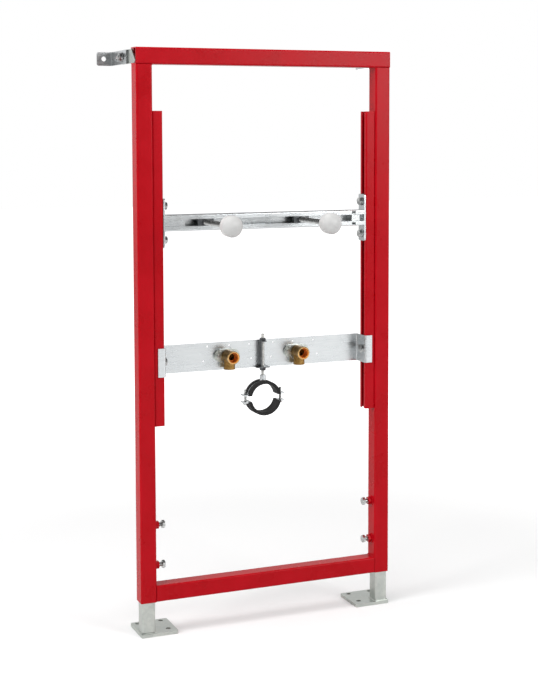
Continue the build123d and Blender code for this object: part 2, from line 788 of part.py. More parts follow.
wall_nut_seat = Plane(origin=(-wall_nut_x, wall_bolt_y, top_tube_z), x_dir=(0, 1, 0), z_dir=(-1, 0, 0))
with BuildPart() as wall_nuts:
    add_hex_nut(wall_nut_seat, screw_size, screw_flats, nut_height)
    with BuildSketch(wall_nut_seat):
        Circle(wall_nut_flange / 2)
        Circle(screw_size / 2 + thread_clearance, mode=Mode.SUBTRACT)
    extrude(amount=wall_nut_flange_thickness)
    mirror(about=Plane.YZ)
save(wall_nuts, "wall_nuts")
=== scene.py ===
# %% [markdown]
# # A washbasin support frame
# The frame stands in a stud wall and carries a washbasin: a welded tube frame in red powder coat, a slotted
# zinc rail with two studs for the basin, a zinc plate with two brass water elbows, and a lined clip for the
# waste pipe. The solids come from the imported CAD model, at true size and in place. This script gives them
# their finishes and adds the small things that CAD leaves plain, such as threads, weld beads, washers and
# chamfered bolt heads.

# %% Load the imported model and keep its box
import math

import bpy
from mathutils import Matrix, Vector


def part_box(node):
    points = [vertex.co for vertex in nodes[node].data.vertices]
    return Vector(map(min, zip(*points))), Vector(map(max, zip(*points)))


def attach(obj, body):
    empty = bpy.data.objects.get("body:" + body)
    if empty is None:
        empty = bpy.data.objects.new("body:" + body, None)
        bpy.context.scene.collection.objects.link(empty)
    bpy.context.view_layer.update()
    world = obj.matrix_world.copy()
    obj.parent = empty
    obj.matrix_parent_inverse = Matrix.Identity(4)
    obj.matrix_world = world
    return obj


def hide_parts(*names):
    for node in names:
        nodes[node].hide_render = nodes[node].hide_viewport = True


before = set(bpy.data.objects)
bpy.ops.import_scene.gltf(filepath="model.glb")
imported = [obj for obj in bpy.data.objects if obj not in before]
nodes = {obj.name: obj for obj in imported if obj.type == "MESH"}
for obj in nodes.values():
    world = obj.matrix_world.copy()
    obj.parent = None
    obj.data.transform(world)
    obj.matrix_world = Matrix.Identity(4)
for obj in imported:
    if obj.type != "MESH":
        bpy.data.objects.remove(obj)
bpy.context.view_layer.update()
MM = 0.001

# %% [markdown]
# ## Camera
# The photograph was taken from the left of the frame, at about chest height, with the lens shifted so that
# the uprights stay nearly upright. Fitting a camera to the tubes' edges gives its place, its turn and its
# lens. The shift is kept as small as the framing allows, because other views keep it.

# %% Camera at the photograph's place
camera_place = Vector((-0.98751, -2.39590, 0.91526))
camera_yaw = math.radians(22.4728)
camera_pitch = math.radians(-4.4258)
camera_roll = math.radians(-0.1667)
sensor_mm = 36
lens_mm = 72.6134
frame_shift = -0.15714
nearest_seen = 0.05
farthest_seen = 60

forward = Vector((
    math.sin(camera_yaw) * math.cos(camera_pitch),
    math.cos(camera_yaw) * math.cos(camera_pitch),
    math.sin(camera_pitch),
))
level_right = Vector((math.cos(camera_yaw), -math.sin(camera_yaw), 0))
level_up = level_right.cross(forward)
right = level_right * math.cos(camera_roll) + level_up * math.sin(camera_roll)
up = right.cross(forward)

camera_data = bpy.data.cameras.new("camera")
camera = bpy.data.objects.new("camera", camera_data)
bpy.context.scene.collection.objects.link(camera)
camera.matrix_world = Matrix.Translation(camera_place) @ Matrix((right, up, -forward)).transposed().to_4x4()
camera_data.sensor_width = sensor_mm
camera_data.lens = lens_mm
camera_data.shift_y = frame_shift
camera_data.clip_start = nearest_seen
camera_data.clip_end = farthest_seen
bpy.context.scene.camera = camera
bpy.context.scene.view_settings.view_transform = "Standard"
print("camera stands", round(camera_place.length, 2), "m from the frame's foot")

# %% [markdown]
# ## Colours and nodes
# Colours are written as they would be picked from a picture, in sRGB hex, and one function makes them linear
# for the shaders. One more function adds any node, with its settings, its fixed values and its links. A new
# finish starts from object coordinates, so that its pattern is measured on the real piece.

# %% Helpers that every finish uses
def linear(hex_colour):
    """An sRGB hex colour as linear red, green, blue and alpha."""
    parts = [int(hex_colour[i:i + 2], 16) / 255 for i in (1, 3, 5)]
    return tuple(c / 12.92 if c <= 0.04045 else ((c + 0.055) / 1.055) ** 2.4 for c in parts) + (1.0,)


def add_node(tree, kind, values=None, links=None, stops=(), **settings):
    """Add one node.

    Settings are its own properties, values its unlinked sockets, links what feeds the other sockets, and
    stops the places and hex colours of a ramp. Sockets go by name, or by number where one name repeats.
    """
    node = tree.nodes.new(kind)
    for name, value in settings.items():
        setattr(node, name, value)
    for socket, value in (values or {}).items():
        node.inputs[socket].default_value = value
    for socket, output in (links or {}).items():
        tree.links.new(output, node.inputs[socket])
    for i, (position, colour) in enumerate(stops):
        node.color_ramp.elements[i].position = position
        node.color_ramp.elements[i].color = linear(colour)
    return node


def new_finish(name):
    """A new material with an empty node tree, its object coordinates and its output."""
    finish = bpy.data.materials.new(name)
    finish.use_nodes = True
    tree = finish.node_tree
    tree.nodes.clear()
    place = add_node(tree, "ShaderNodeTexCoord").outputs["Object"]
    output = add_node(tree, "ShaderNodeOutputMaterial")
    return finish, tree, place, output


def per_size(size_mm):
    """The scale of a noise or cell pattern whose grain is this many millimetres across."""
    return 1 / (size_mm * MM)


print("white, linear:", linear("#ffffff"))

# %% [markdown]
# ## Studio floor
# The photograph is a catalogue picture on white. The floor is a wide plane whose white comes partly from a
# glow that only the camera and reflections see, so that it stays white without more light on the object, and
# its diffuse part still takes the soft shadows. Reflections see the glow weaker, and weakest on the left,
# because zinc that mirrors the floor would burn out to white.

# %% White floor that keeps the shadow
floor_half = 14
bpy.ops.object.select_all(action="DESELECT")
bpy.ops.mesh.primitive_plane_add(size=2 * floor_half, location=(0, 0, 0))
floor = bpy.context.object
floor.name = "studio_floor"
floor_finish, tree, place, output = new_finish("white_paper_floor")
paper = add_node(tree, "ShaderNodeBsdfDiffuse", {"Color": linear("#d9d9d9")})
rays = add_node(tree, "ShaderNodeLightPath")
straight = add_node(
    tree, "ShaderNodeMath", links={0: rays.outputs["Is Camera Ray"], 1: rays.outputs["Is Transmission Ray"]},
    operation="MAXIMUM",
)
sides = add_node(tree, "ShaderNodeSeparateXYZ", links={"Vector": place})
lit_side = add_node(
    tree, "ShaderNodeMapRange", {"From Min": -1.1, "From Max": 0.0, "To Min": 0.1, "To Max": 0.5},
    {"Value": sides.outputs["X"]}, interpolation_type="SMOOTHSTEP",
)
mirrored = add_node(
    tree, "ShaderNodeMath", links={0: rays.outputs["Is Glossy Ray"], 1: lit_side.outputs[0]},
    operation="MULTIPLY",
)
seen = add_node(
    tree, "ShaderNodeMath", links={0: straight.outputs[0], 1: mirrored.outputs[0]}, operation="MAXIMUM"
)
distance = add_node(tree, "ShaderNodeVectorMath", links={0: place}, operation="LENGTH")
whiteness = add_node(
    tree, "ShaderNodeMapRange", {"From Min": 0.7, "From Max": 2.2, "To Min": 0.26, "To Max": 1.0},
    {"Value": distance.outputs["Value"]}, interpolation_type="SMOOTHSTEP",
)
strength = add_node(
    tree, "ShaderNodeMath", links={0: seen.outputs[0], 1: whiteness.outputs[0]}, operation="MULTIPLY"
)
glow = add_node(tree, "ShaderNodeEmission", {"Color": linear("#ffffff")}, {"Strength": strength.outputs[0]})
both = add_node(tree, "ShaderNodeAddShader", links={0: paper.outputs[0], 1: glow.outputs[0]})
tree.links.new(both.outputs[0], output.inputs["Surface"])
floor.data.materials.append(floor_finish)
print("floor is", 2 * floor_half, "m wide")

# %% [markdown]
# ## Room and lamps
# The world is white to the camera and behind the object. Reflections see it darker towards the room in
# front, as a studio is behind its camera, and up towards the ceiling, and this is what keeps the red of the
# front faces deep. Two large softboxes fill from the top and the left and are hidden from reflections. The
# one on the right is seen by them, because it makes the pale sheen on the right-hand tube.

# %% World and softboxes
world = bpy.data.worlds.new("studio")
bpy.context.scene.world = world
world.use_nodes = True
tree = world.node_tree
tree.nodes.clear()
direction = add_node(tree, "ShaderNodeTexCoord").outputs["Generated"]
axes = add_node(tree, "ShaderNodeSeparateXYZ", links={"Vector": direction})
behind_camera = add_node(
    tree, "ShaderNodeMapRange", {"From Min": -0.70, "From Max": -0.10, "To Min": 0.12, "To Max": 0.9},
    {"Value": axes.outputs["Y"]}, interpolation_type="SMOOTHSTEP",
)
under_ceiling = add_node(
    tree, "ShaderNodeMapRange", {"From Min": 0.36, "From Max": 0.65, "To Min": 1.0, "To Max": 0.25},
    {"Value": axes.outputs["Z"]}, interpolation_type="SMOOTHSTEP",
)
mirrored = add_node(
    tree, "ShaderNodeMath", links={0: behind_camera.outputs[0], 1: under_ceiling.outputs[0]},
    operation="MULTIPLY",
)
rays = add_node(tree, "ShaderNodeLightPath")
backdrop = add_node(
    tree, "ShaderNodeMath", links={0: rays.outputs["Is Camera Ray"], 1: rays.outputs["Is Transmission Ray"]},
    operation="MAXIMUM",
)
room_level = add_node(
    tree, "ShaderNodeMix", {"A": 0.40}, {"Factor": rays.outputs["Is Glossy Ray"], "B": mirrored.outputs[0]}
)
level = add_node(
    tree, "ShaderNodeMix", {"B": 1.0}, {"Factor": backdrop.outputs[0], "A": room_level.outputs[0]}
)
sky = add_node(tree, "ShaderNodeBackground", {"Color": linear("#ffffff")}, {"Strength": level.outputs[0]})
add_node(tree, "ShaderNodeOutputWorld", links={"Surface": sky.outputs[0]})


def add_softbox(name, at, aim, width, height, power, mirrored=True):
    """An oblong area lamp that hangs at one point and faces another, seen in reflections or not."""
    lamp = bpy.data.lights.new(name, "AREA")
    lamp.shape = "RECTANGLE"
    lamp.size = width
    lamp.size_y = height
    lamp.energy = power
    softbox = bpy.data.objects.new(name, lamp)
    bpy.context.scene.collection.objects.link(softbox)
    softbox.location = at
    softbox.rotation_mode = "QUATERNION"
    softbox.rotation_quaternion = (Vector(aim) - Vector(at)).to_track_quat("-Z", "Y")
    softbox.visible_glossy = mirrored


add_softbox(
    "top_softbox", at=(-0.5, -0.4, 3.4), aim=(0, 0, 0.4), width=1.6, height=1.6, power=50, mirrored=False
)
add_softbox(
    "left_softbox", at=(-3.2, -0.7, 1.7), aim=(0, 0, 0.6), width=1.4, height=1.8, power=74, mirrored=False
)
add_softbox("right_softbox", at=(1.9, -2.70, 1.66), aim=(0, 0, 0.9), width=1.5, height=1.6, power=56)

# %% [markdown]
# ## Red powder coat
# The tubes are steel, sprayed with polyester powder and baked. The coat is thick and slightly glossy, with a
# fine orange-peel surface and small changes of tone where it ran thinner. It is a plain dielectric over a
# deep red, and the pale sheen on the sides comes from the white room at a shallow angle. Its IOR is lower
# than a real polyester's, which keeps the red deep where it faces the room.

# %% Red powder coat
red_coat, tree, place, output = new_finish("red_powder_coat")
cloud = add_node(tree, "ShaderNodeTexNoise", {"Scale": per_size(60), "Detail": 4.0}, {"Vector": place})
tone = add_node(
    tree, "ShaderNodeValToRGB", links={"Fac": cloud.outputs["Fac"]},
    stops=[(0.35, "#a80310"), (0.68, "#b20516")],
)
peel = add_node(tree, "ShaderNodeTexNoise", {"Scale": per_size(1.6), "Detail": 2.0}, {"Vector": place})
gloss = add_node(
    tree, "ShaderNodeMapRange", {"From Min": 0.3, "From Max": 0.7, "To Min": 0.25, "To Max": 0.33},
    {"Value": cloud.outputs["Fac"]},
)
bumps = add_node(
    tree, "ShaderNodeBump", {"Strength": 0.12, "Distance": 0.15 * MM}, {"Height": peel.outputs["Fac"]}
)
shader = add_node(
    tree, "ShaderNodeBsdfPrincipled", {"IOR": 1.22},
    {"Base Color": tone.outputs["Color"], "Roughness": gloss.outputs[0], "Normal": bumps.outputs[0]},
)
tree.links.new(shader.outputs[0], output.inputs["Surface"])
print("made", red_coat.name)

# %% [markdown]
# ## Zinc-plated sheet
# Five zinc finishes show on this frame. All are metals, so their colour is the colour of their reflection.
# The first is on the plate, the rail and its brackets, the wall angles and the clip: electroplated sheet,
# with fine lines from the rolling mill. The lines are noise that is stretched along the sheet, drawn a little
# coarser than real ones so that they show, and large soft patches vary them.

# %% Zinc-plated sheet with rolling lines
zinc_sheet, tree, place, output = new_finish("zinc_plated_sheet")
stretch = add_node(tree, "ShaderNodeMapping", {"Scale": (0.03, 1.0, 1.0)}, {"Vector": place})
lines = add_node(
    tree, "ShaderNodeTexNoise", {"Scale": per_size(1.2), "Detail": 3.0}, {"Vector": stretch.outputs[0]}
)
patches = add_node(tree, "ShaderNodeTexNoise", {"Scale": per_size(45), "Detail": 5.0}, {"Vector": place})
total = add_node(
    tree, "ShaderNodeMath", links={0: lines.outputs["Fac"], 1: patches.outputs["Fac"]}, operation="ADD"
)
mean = add_node(tree, "ShaderNodeMath", {1: 0.5}, {0: total.outputs[0]}, operation="MULTIPLY")
tone = add_node(
    tree, "ShaderNodeValToRGB", links={"Fac": mean.outputs[0]},
    stops=[(0.36, "#cbcfd1"), (0.64, "#d9dcdd")],
)
gloss = add_node(
    tree, "ShaderNodeMapRange", {"From Min": 0.3, "From Max": 0.7, "To Min": 0.25, "To Max": 0.31},
    {"Value": mean.outputs[0]},
)
bumps = add_node(
    tree, "ShaderNodeBump", {"Strength": 0.03, "Distance": 0.05 * MM}, {"Height": lines.outputs["Fac"]}
)
shader = add_node(
    tree, "ShaderNodeBsdfPrincipled", {"Metallic": 0.95},
    {"Base Color": tone.outputs["Color"], "Roughness": gloss.outputs[0], "Normal": bumps.outputs[0]},
)
tree.links.new(shader.outputs[0], output.inputs["Surface"])
print("made", zinc_sheet.name)

# %% [markdown]
# ## Galvanised steel
# The legs, the feet, the wall straps and the elbow bases were dipped in molten zinc. It froze in flat
# crystals called spangle, which the eye sees as faint patches of slightly different grey. A cell pattern
# stands for the crystals, and a soft cloud makes the coat look worn.

# %% Galvanised steel with spangle
galvanised, tree, place, output = new_finish("galvanised_steel")
spangle = add_node(tree, "ShaderNodeTexVoronoi", {"Scale": per_size(7)}, {"Vector": place})
grey = add_node(tree, "ShaderNodeSeparateColor", links={"Color": spangle.outputs["Color"]})
cloud = add_node(tree, "ShaderNodeTexNoise", {"Scale": per_size(30), "Detail": 4.0}, {"Vector": place})
mixed = add_node(
    tree, "ShaderNodeMath", {1: 0.35}, {0: grey.outputs["Red"], 2: cloud.outputs["Fac"]},
    operation="MULTIPLY_ADD",
)
tone = add_node(
    tree, "ShaderNodeValToRGB", links={"Fac": mixed.outputs[0]},
    stops=[(0.40, "#bcc1bc"), (0.95, "#cdd1cb")],
)
gloss = add_node(
    tree, "ShaderNodeMapRange", {"From Min": 0.3, "From Max": 1.0, "To Min": 0.28, "To Max": 0.38},
    {"Value": mixed.outputs[0]},
)
shader = add_node(
    tree, "ShaderNodeBsdfPrincipled", {"Metallic": 0.9},
    {"Base Color": tone.outputs["Color"], "Roughness": gloss.outputs[0]},
)
tree.links.new(shader.outputs[0], output.inputs["Surface"])
print("made", galvanised.name)

# %% [markdown]
# ## Barrel-plated zinc
# Bolts and nuts are plated by the hundred in a turning barrel. They come out brighter and smoother than
# sheet, with small dull specks where they knocked together. Fine noise gives the specks, in the colour and
# in the roughness.

# %% Barrel-plated fasteners
bright_zinc, tree, place, output = new_finish("barrel_plated_zinc")
specks = add_node(tree, "ShaderNodeTexNoise", {"Scale": per_size(4), "Detail": 4.0}, {"Vector": place})
tone = add_node(
    tree, "ShaderNodeValToRGB", links={"Fac": specks.outputs["Fac"]},
    stops=[(0.35, "#a9abab"), (0.65, "#d3d4d2")],
)
gloss = add_node(
    tree, "ShaderNodeMapRange", {"From Min": 0.3, "From Max": 0.7, "To Min": 0.22, "To Max": 0.36},
    {"Value": specks.outputs["Fac"]},
)
shader = add_node(
    tree, "ShaderNodeBsdfPrincipled", {"Metallic": 1.0},
    {"Base Color": tone.outputs["Color"], "Roughness": gloss.outputs[0]},
)
tree.links.new(shader.outputs[0], output.inputs["Surface"])
print("made", bright_zinc.name)

# %% [markdown]
# ## Dark zinc and pale zinc
# A dip after the plating turns some zinc nearly black, and rubbing leaves it uneven, as on the clip's bracket
# and nuts. The opposite shows on the clip's rod: rolling and handling leave it pale and dull. The small pips
# take the same pale zinc, and on them it is a painted highlight: their light tone stands in for glints on the
# elbow bases, so that they show as light dots from all sides. Both need only two tones of noise.

# %% Zinc with a dark passivation, and rolled zinc that also paints the glints of the pips
dark_zinc, tree, place, output = new_finish("dark_passivated_zinc")
stain = add_node(tree, "ShaderNodeTexNoise", {"Scale": per_size(6), "Detail": 4.0}, {"Vector": place})
tone = add_node(
    tree, "ShaderNodeValToRGB", links={"Fac": stain.outputs["Fac"]},
    stops=[(0.35, "#4b4d50"), (0.68, "#757779")],
)
shader = add_node(
    tree, "ShaderNodeBsdfPrincipled", {"Metallic": 0.9, "Roughness": 0.36},
    {"Base Color": tone.outputs["Color"]},
)
tree.links.new(shader.outputs[0], output.inputs["Surface"])

# On the pips this pale zinc is a painted highlight, standing in for glints.
pale_zinc_and_painted_glint, tree, place, output = new_finish("rolled_zinc_and_painted_glint")
rub = add_node(tree, "ShaderNodeTexNoise", {"Scale": per_size(2), "Detail": 3.0}, {"Vector": place})
tone = add_node(
    tree, "ShaderNodeValToRGB", links={"Fac": rub.outputs["Fac"]},
    stops=[(0.35, "#c6c6c3"), (0.65, "#ecece9")],
)
shader = add_node(
    tree, "ShaderNodeBsdfPrincipled", {"Metallic": 0.4, "Roughness": 0.45},
    {"Base Color": tone.outputs["Color"]},
)
tree.links.new(shader.outputs[0], output.inputs["Surface"])
print("made", dark_zinc.name, "and", pale_zinc_and_painted_glint.name)

# %% [markdown]
# ## Brass
# The elbows are hot-pressed brass. Their bodies keep the dull brown skin of the press, and only the mouth,
# which is turned on a lathe, shows bright metal. One material holds both: it goes bright within a few
# millimetres of the mouth.

# %% Pressed and turned brass
turned_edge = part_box("left_tap_elbow")[0].y + 2.5 * MM
turned_fade = 0.5 * MM
brass, tree, place, output = new_finish("pressed_brass")
axes = add_node(tree, "ShaderNodeSeparateXYZ", links={"Vector": place})
turned = add_node(
    tree, "ShaderNodeMapRange",
    {"From Min": turned_edge, "From Max": turned_edge + turned_fade, "To Min": 1.0, "To Max": 0.0},
    {"Value": axes.outputs["Y"]},
)
skin = add_node(tree, "ShaderNodeTexNoise", {"Scale": per_size(5), "Detail": 5.0}, {"Vector": place})
dull = add_node(
    tree, "ShaderNodeValToRGB", links={"Fac": skin.outputs["Fac"]},
    stops=[(0.35, "#8a6a38"), (0.68, "#b28c52")],
)
tone = add_node(
    tree, "ShaderNodeMix", {"B": linear("#d9b074")},
    {"Factor": turned.outputs[0], "A": dull.outputs["Color"]}, data_type="RGBA",
)
gloss = add_node(tree, "ShaderNodeMix", {"A": 0.42, "B": 0.24}, {"Factor": turned.outputs[0]})
bumps = add_node(
    tree, "ShaderNodeBump", {"Strength": 0.2, "Distance": 0.2 * MM}, {"Height": skin.outputs["Fac"]}
)
shader = add_node(
    tree, "ShaderNodeBsdfPrincipled", {"Metallic": 1.0},
    {"Base Color": tone.outputs["Result"], "Roughness": gloss.outputs["Result"], "Normal": bumps.outputs[0]},
)
tree.links.new(shader.outputs[0], output.inputs["Surface"])
print("made", brass.name, "bright to y =", round(turned_edge, 4))

# %% [markdown]
# ## Tapped brass, with painted bounce light
# Inside the mouth the light bounces from thread to thread, and each bounce takes more of the blue, so the
# brass looks deep orange there. Little light gets into so narrow a hole in the render, so that orange is
# painted into the finish: a bright orange colour, lit or not, that stands in for the bounce light.

# %% Tapped brass, its colour painted bounce light
tapped_brass_painted_bounce, tree, place, output = new_finish("tapped_brass_painted_bounce")
painted_bounce_mottle = add_node(tree, "ShaderNodeTexNoise", {"Scale": per_size(3), "Detail": 3.0}, {"Vector": place})
# The bright orange of these stops is painted bounce light, not the brass's own colour, and the noise only
# varies it.
tone = add_node(
    tree, "ShaderNodeValToRGB", links={"Fac": painted_bounce_mottle.outputs["Fac"]},
    stops=[(0.35, "#d8761a"), (0.68, "#f5a042")],
)
shader = add_node(
    tree, "ShaderNodeBsdfPrincipled", {"Metallic": 0.3, "Roughness": 0.35},
    {"Base Color": tone.outputs["Color"]},
)
tree.links.new(shader.outputs[0], output.inputs["Surface"])
print("made", tapped_brass_painted_bounce.name)

# %% [markdown]
# ## Rubber and plastic
# The clip's lining is extruded rubber, black and matt, with a bloom that makes it slightly grey in patches.
# The stud caps are moulded plastic in a pale grey-white, with a fine eroded texture from the mould.

# %% Black rubber and white plastic
rubber, tree, place, output = new_finish("epdm_rubber")
bloom = add_node(tree, "ShaderNodeTexNoise", {"Scale": per_size(8), "Detail": 4.0}, {"Vector": place})
tone = add_node(
    tree, "ShaderNodeValToRGB", links={"Fac": bloom.outputs["Fac"]},
    stops=[(0.35, "#0e0d0d"), (0.70, "#191718")],
)
bumps = add_node(
    tree, "ShaderNodeBump", {"Strength": 0.15, "Distance": 0.2 * MM}, {"Height": bloom.outputs["Fac"]}
)
shader = add_node(
    tree, "ShaderNodeBsdfPrincipled", {"Roughness": 0.62, "IOR": 1.4},
    {"Base Color": tone.outputs["Color"], "Normal": bumps.outputs[0]},
)
tree.links.new(shader.outputs[0], output.inputs["Surface"])

cap_plastic, tree, place, output = new_finish("moulded_polythene")
grain = add_node(tree, "ShaderNodeTexNoise", {"Scale": per_size(1.2), "Detail": 2.0}, {"Vector": place})
cloud = add_node(tree, "ShaderNodeTexNoise", {"Scale": per_size(18), "Detail": 3.0}, {"Vector": place})
tone = add_node(
    tree, "ShaderNodeValToRGB", links={"Fac": cloud.outputs["Fac"]},
    stops=[(0.35, "#bfbfbe"), (0.65, "#c9c9c8")],
)
bumps = add_node(
    tree, "ShaderNodeBump", {"Strength": 0.1, "Distance": 0.1 * MM}, {"Height": grain.outputs["Fac"]}
)
shader = add_node(
    tree, "ShaderNodeBsdfPrincipled", {"Roughness": 0.38, "IOR": 1.5},
    {"Base Color": tone.outputs["Color"], "Normal": bumps.outputs[0]},
)
tree.links.new(shader.outputs[0], output.inputs["Surface"])
print("made", rubber.name, "and", cap_plastic.name)

# %% [markdown]
# ## Dressing the CAD nodes
# Each node takes the finish of the real piece. The nodes keep their meshes, so only their material slots
# change. What is in no list is a bought fastener, and takes barrel-plated zinc.

# %% Give each node its finish
dressing = [
    (red_coat, ["top_tube", "left_stile", "right_stile", "bottom_rail"]),
    (red_coat, ["left_inner_rail", "right_inner_rail", "clamp_nuts"]),
    (galvanised, ["left_leg", "right_leg", "left_foot_plate", "right_foot_plate"]),
    (galvanised, ["left_wall_strap", "right_wall_strap", "left_elbow_base", "right_elbow_base"]),
    (zinc_sheet, ["basin_rail", "left_rail_bracket", "right_rail_bracket", "fitting_plate"]),
    (zinc_sheet, ["left_wall_angle", "right_wall_angle", "upper_clip_band", "lower_clip_band"]),
    (dark_zinc, ["stud_slide_nuts", "clip_bracket"]),
    (brass, ["left_tap_elbow", "right_tap_elbow"]),
    (rubber, ["upper_clip_lining", "lower_clip_lining"]),
    (cap_plastic, ["left_stud_cap", "right_stud_cap"]),
]
finishes = {name: finish for finish, names in dressing for name in names}
for name, node in nodes.items():
    node.data.materials.clear()
    node.data.materials.append(finishes.get(name, bright_zinc))
print("dressed", len(nodes), "nodes")

# %% [markdown]
# ## Tools for modelling by hand
# The small pieces are modelled with the operators that a hand would use: shapes are selected, cut with each
# other, joined and set in place. Each of these is one helper, and a finished piece has its place in its mesh,
# because a pattern on object coordinates would slide otherwise.

# %% Select, join, cut and close
merge_distance = 0.001 * MM
smooth_angle = math.radians(35)


def only(piece):
    """Select one piece alone and make it the active one."""
    bpy.ops.object.select_all(action="DESELECT")
    piece.select_set(True)
    bpy.context.view_layer.objects.active = piece


def apply_modifier(piece, kind, **settings):
    """Give a piece one modifier and apply it."""
    only(piece)
    modifier = piece.modifiers.new(kind.lower(), kind)
    for name, value in settings.items():
        setattr(modifier, name, value)
    bpy.ops.object.modifier_apply(modifier=modifier.name)


def combine(piece, other, operation):
    """Unite a piece with another shape, cut it away or keep what they share, and delete the other shape."""
    apply_modifier(piece, "BOOLEAN", object=other, operation=operation, solver="EXACT")
    only(other)
    bpy.ops.object.delete()


def close_up(piece):
    """Merge doubled points and turn all faces outwards."""
    only(piece)
    bpy.ops.object.mode_set(mode="EDIT")
    bpy.ops.mesh.select_all(action="SELECT")
    bpy.ops.mesh.remove_doubles(threshold=merge_distance)
    bpy.ops.mesh.normals_make_consistent(inside=False)
    bpy.ops.object.mode_set(mode="OBJECT")


def settle(piece, place, turn=(0, 0, 0)):
    """Turn a piece about the origin, move it to its place and leave both in its mesh."""
    only(piece)
    piece.rotation_euler = turn
    piece.location = place
    bpy.ops.object.transform_apply(location=True, rotation=True, scale=True)


def join(pieces):
    """Join pieces as one object."""
    only(pieces[0])
    for piece in pieces:
        piece.select_set(True)
    if len(pieces) > 1:
        bpy.ops.object.join()
    return pieces[0]


def set_out(model, seats):
    """Copy a model to each seat, given as a place and a turn, and join the copies as one object."""
    copies = []
    for place, turn in seats:
        only(model)
        bpy.ops.object.duplicate(linked=False)
        copies.append(bpy.context.object)
        settle(copies[-1], place, turn)
    only(model)
    bpy.ops.object.delete()
    return join(copies)


def adopt(piece, name, body, slot, finish, *replaced):
    """Name a finished piece, shade and dress it, and let it ride on its body in place of CAD nodes."""
    only(piece)
    bpy.ops.object.shade_smooth_by_angle(angle=smooth_angle)
    piece.name = name
    piece.data.name = name
    piece.data.materials.clear()
    piece.data.materials.append(finish)
    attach(piece, body)
    if replaced:
        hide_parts(*replaced)
    print("made", name, "with", len(piece.data.polygons), "faces on", body)


print("tools ready")

# %% [markdown]
# ## A lathe
# Washers, countersinks and pips are round, so they are turned. A point is extruded stroke by stroke into half
# of the outline, as a turner's tool would follow it, and the outline is spun once round the axis.

# %% Draw a profile, turn it on a lathe
lathe_steps = 36


def draw_profile(start, strokes):
    """One point at a radius and a height, extruded stroke by stroke into a profile in the XZ plane."""
    bpy.ops.object.select_all(action="DESELECT")
    bpy.ops.mesh.primitive_plane_add(size=MM)
    profile = bpy.context.object
    bpy.ops.object.mode_set(mode="EDIT")
    bpy.ops.mesh.merge(type="CENTER")
    bpy.ops.transform.translate(value=(start[0], 0, start[1]))
    for outwards, upwards in strokes:
        bpy.ops.mesh.extrude_region_move(TRANSFORM_OT_translate={"value": (outwards, 0, upwards)})
    bpy.ops.object.mode_set(mode="OBJECT")
    return profile


def turn_on_lathe(start, strokes):
    """Spin a profile round the Z axis into one closed turned shape."""
    turned = draw_profile(start, strokes)
    bpy.ops.object.mode_set(mode="EDIT")
    bpy.ops.mesh.select_all(action="SELECT")
    bpy.ops.mesh.spin(steps=lathe_steps, angle=math.tau, center=(0, 0, 0), axis=(0, 0, 1))
    bpy.ops.object.mode_set(mode="OBJECT")
    close_up(turned)
    return turned


print("lathe ready,", lathe_steps, "steps a turn")

# %% [markdown]
# ## Threads
# A thread is one tooth wound up a rod. Its profile has the shape of a metric tooth, with a narrow flat on the
# crest and a wider one at the root, and the Screw modifier lifts it by one pitch a turn. The ends are cut
# flat by bisecting, and a turned envelope takes off their edges, as a die does.

# %% Threaded rods
tooth_share = 0.6134
thread_steps = 20
spare_turns = 3


def add_threaded_rod(size, pitch, length, depth=None):
    """A rod up the Z axis from the origin, with a thread from end to end."""
    depth = depth or tooth_share * pitch
    root = size / 2 - depth
    root_flat, flank, crest_flat = pitch / 4, pitch * 5 / 16, pitch / 8
    below = 1.5 * pitch
    spare = 0.4 * pitch
    rod = draw_profile((root, -below), [(0, root_flat), (depth, flank), (0, crest_flat), (-depth, flank)])
    apply_modifier(
        rod, "SCREW", axis="Z", screw_offset=pitch, iterations=math.ceil(length / pitch) + spare_turns,
        steps=thread_steps, render_steps=thread_steps,
    )
    close_up(rod)
    bpy.ops.object.mode_set(mode="EDIT")
    bpy.ops.mesh.select_all(action="SELECT")
    bpy.ops.mesh.bisect(plane_co=(0, 0, -spare), plane_no=(0, 0, 1), use_fill=True, clear_inner=True)
    bpy.ops.mesh.select_all(action="SELECT")
    bpy.ops.mesh.bisect(plane_co=(0, 0, length + spare), plane_no=(0, 0, 1), use_fill=True, clear_outer=True)
    bpy.ops.object.mode_set(mode="OBJECT")
    close_up(rod)
    edge = 1.2 * depth
    envelope = turn_on_lathe(
        (0, 0), [(root, 0), (edge, edge), (0, length - 2 * edge), (-edge, edge), (-root, 0)]
    )
    combine(rod, envelope, "INTERSECT")
    return rod


print("threads ready, a tooth is", tooth_share, "of its pitch deep")

# %% [markdown]
# ## Bolts and nuts
# A bolt head is a hexagon whose corners a cone turns off, which leaves the curved line on each flat that
# makes a head look real. A nut is turned off at both ends and drilled. Each stands on its seat at the origin,
# so a copy only has to be set on a seat of the frame and turned the way it faces.

# %% Hexagons, washers, bolts and nuts
chamfer_circle = 0.95
chamfer_slope = math.sqrt(3)


def add_hexagon(flats, height, both_ends=False):
    """A hexagon that stands on the XY plane, its corners turned off at its top, or at both ends of a nut."""
    bpy.ops.object.select_all(action="DESELECT")
    bpy.ops.mesh.primitive_cylinder_add(vertices=6, radius=flats / math.sqrt(3), depth=height)
    hexagon = bpy.context.object
    settle(hexagon, (0, 0, height / 2))
    over = 0.1 * flats
    tip = chamfer_circle * flats / 2 - chamfer_slope * over
    rise = height / 2 + over
    waist = tip + chamfer_slope * rise
    foot = tip if both_ends else waist
    cone = turn_on_lathe((0, -over), [(foot, 0), (waist - foot, rise), (tip - waist, rise), (-tip, 0)])
    combine(hexagon, cone, "INTERSECT")
    return hexagon


def add_washer(bore, across, thickness):
    """A flat washer on the XY plane, with the edges that its press rounded."""
    edge = 0.25 * thickness
    wall = (across - bore) / 2
    rim = [(wall - edge, 0), (edge, edge), (0, thickness - 2 * edge), (-edge, edge)]
    return turn_on_lathe((bore / 2, 0), rim + [(edge - wall, 0), (0, -thickness)])


